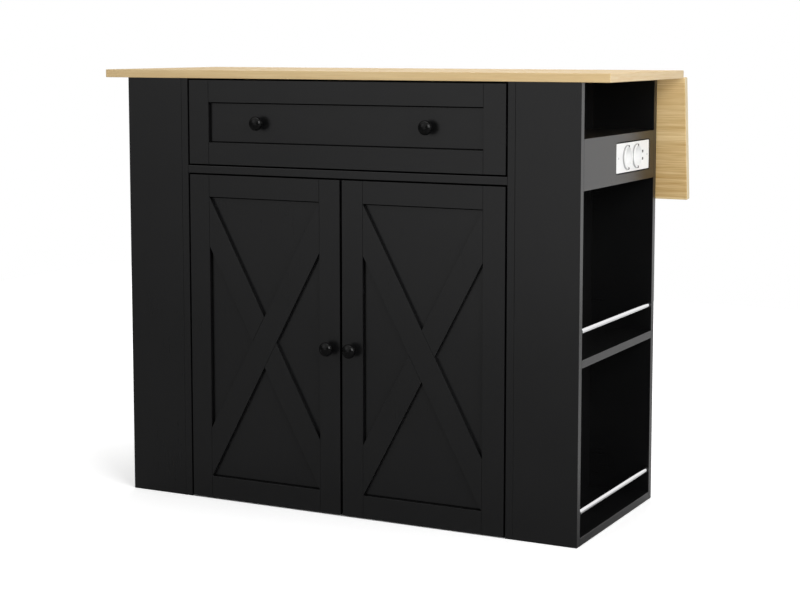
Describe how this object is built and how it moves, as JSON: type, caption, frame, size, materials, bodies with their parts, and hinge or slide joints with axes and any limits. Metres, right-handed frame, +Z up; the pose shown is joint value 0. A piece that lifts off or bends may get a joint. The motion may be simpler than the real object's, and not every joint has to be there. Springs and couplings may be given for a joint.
{
  "type": "kitchen island unit",
  "caption": "Kitchen island with a wood worktop, a drawer over cross-braced doors, open end shelves with guard rails, a power outlet and a drop leaf behind.",
  "frame": {"origin": "on the floor, under the middle of the island's whole reach in width and in depth", "axes": "+X to the right end with the outlet, -Y to the front with the drawer and doors, +Z up"},
  "size_m": [1.16, 0.5165, 0.92],
  "materials": {
    "black_paint": "satin black paint on board",
    "pale_wood": "satin oiled wood in glued strips",
    "chrome": "polished",
    "dark_metal": "satin black coated metal",
    "zinc_steel": "zinc plated",
    "white_plastic": "semi-gloss moulded",
    "drawer_board": "matt foil on board"
  },
  "bodies": {
    "cabinet": {"worktop": "pale_wood", "back_panel": "black_paint", "bottom_board": "black_paint", "divider_board": "black_paint", "inner_shelf": "black_paint", "left_side_board": "black_paint", "right_side_board": "black_paint", "left_front_panel": "black_paint", "right_front_panel": "black_paint", "left_bottom_shelf": "black_paint", "left_middle_shelf": "black_paint", "right_bottom_shelf": "black_paint", "right_middle_shelf": "black_paint", "left_lower_guard_rail": "chrome", "left_upper_guard_rail": "chrome", "right_lower_guard_rail": "chrome", "right_upper_guard_rail": "chrome", "power_box_floor": "black_paint", "power_box_top": "black_paint", "power_fascia": "black_paint", "power_outlet": "white_plastic", "left_slide_outer": "zinc_steel", "right_slide_outer": "zinc_steel", "left_door_lower_hinge_arm": "zinc_steel", "left_door_upper_hinge_arm": "zinc_steel", "right_door_lower_hinge_arm": "zinc_steel", "right_door_upper_hinge_arm": "zinc_steel", "leaf_hinge_plate": "zinc_steel", "left_bracket_wall_leg": "dark_metal", "right_bracket_wall_leg": "dark_metal"},
    "drawer": {"drawer_frame": "black_paint", "drawer_front_panel": "black_paint", "left_drawer_knob": "dark_metal", "right_drawer_knob": "dark_metal", "left_drawer_side": "drawer_board", "right_drawer_side": "drawer_board", "drawer_bottom": "drawer_board", "drawer_back": "drawer_board", "left_slide_inner": "zinc_steel", "right_slide_inner": "zinc_steel"},
    "left_slide": {"left_slide_middle": "zinc_steel"},
    "right_slide": {"right_slide_middle": "zinc_steel"},
    "left_door": {"left_door_frame": "black_paint", "left_door_panel": "black_paint", "left_door_cross_brace": "black_paint", "left_door_knob": "dark_metal", "left_door_lower_hinge_cup": "zinc_steel", "left_door_upper_hinge_cup": "zinc_steel"},
    "right_door": {"right_door_frame": "black_paint", "right_door_panel": "black_paint", "right_door_cross_brace": "black_paint", "right_door_knob": "dark_metal", "right_door_lower_hinge_cup": "zinc_steel", "right_door_upper_hinge_cup": "zinc_steel"},
    "leaf": {"drop_leaf": "pale_wood", "leaf_hinge_flap": "zinc_steel", "left_bracket_channel_leg": "dark_metal", "right_bracket_channel_leg": "dark_metal"},
    "left_strut": {"left_bracket_strut": "dark_metal"},
    "right_strut": {"right_bracket_strut": "dark_metal"}
  },
  "joints": [
    {"name": "drawer_slide", "type": "slide", "parent": "cabinet", "child": "drawer", "axis": [0, -1, 0], "range_m": [0, 0.3]},
    {"name": "left_slide_run", "type": "slide", "parent": "cabinet", "child": "left_slide", "axis": [0, -1, 0], "range_m": [0, 0.15]},
    {"name": "right_slide_run", "type": "slide", "parent": "cabinet", "child": "right_slide", "axis": [0, -1, 0], "range_m": [0, 0.15]},
    {"name": "left_door_hinge", "type": "hinge", "parent": "cabinet", "child": "left_door", "pos_m": [-0.352, -0.221, 0.351], "axis": [0, 0, -1], "range_deg": [0, 100]},
    {"name": "right_door_hinge", "type": "hinge", "parent": "cabinet", "child": "right_door", "pos_m": [0.352, -0.221, 0.351], "axis": [0, 0, 1], "range_deg": [0, 100]},
    {"name": "leaf_hinge", "type": "hinge", "parent": "cabinet", "child": "leaf", "pos_m": [0, 0.2103, 0.8997], "axis": [1, 0, 0], "range_deg": [0, 83.7]},
    {"name": "left_strut_pivot", "type": "hinge", "parent": "cabinet", "child": "left_strut", "pos_m": [-0.25, 0.212, 0.8197], "axis": [1, 0, 0], "range_deg": [0, 113]},
    {"name": "right_strut_pivot", "type": "hinge", "parent": "cabinet", "child": "right_strut", "pos_m": [0.25, 0.212, 0.8197], "axis": [1, 0, 0], "range_deg": [0, 113]}
  ],
  "couplings": [
    {"joint": "left_slide_run", "follows": "drawer_slide", "ratio": 0.5},
    {"joint": "right_slide_run", "follows": "drawer_slide", "ratio": 0.5},
    {"joint": "left_strut_pivot", "follows": "leaf_hinge", "ratio": 1.3498},
    {"joint": "right_strut_pivot", "follows": "leaf_hinge", "ratio": 1.3498}
  ]
}
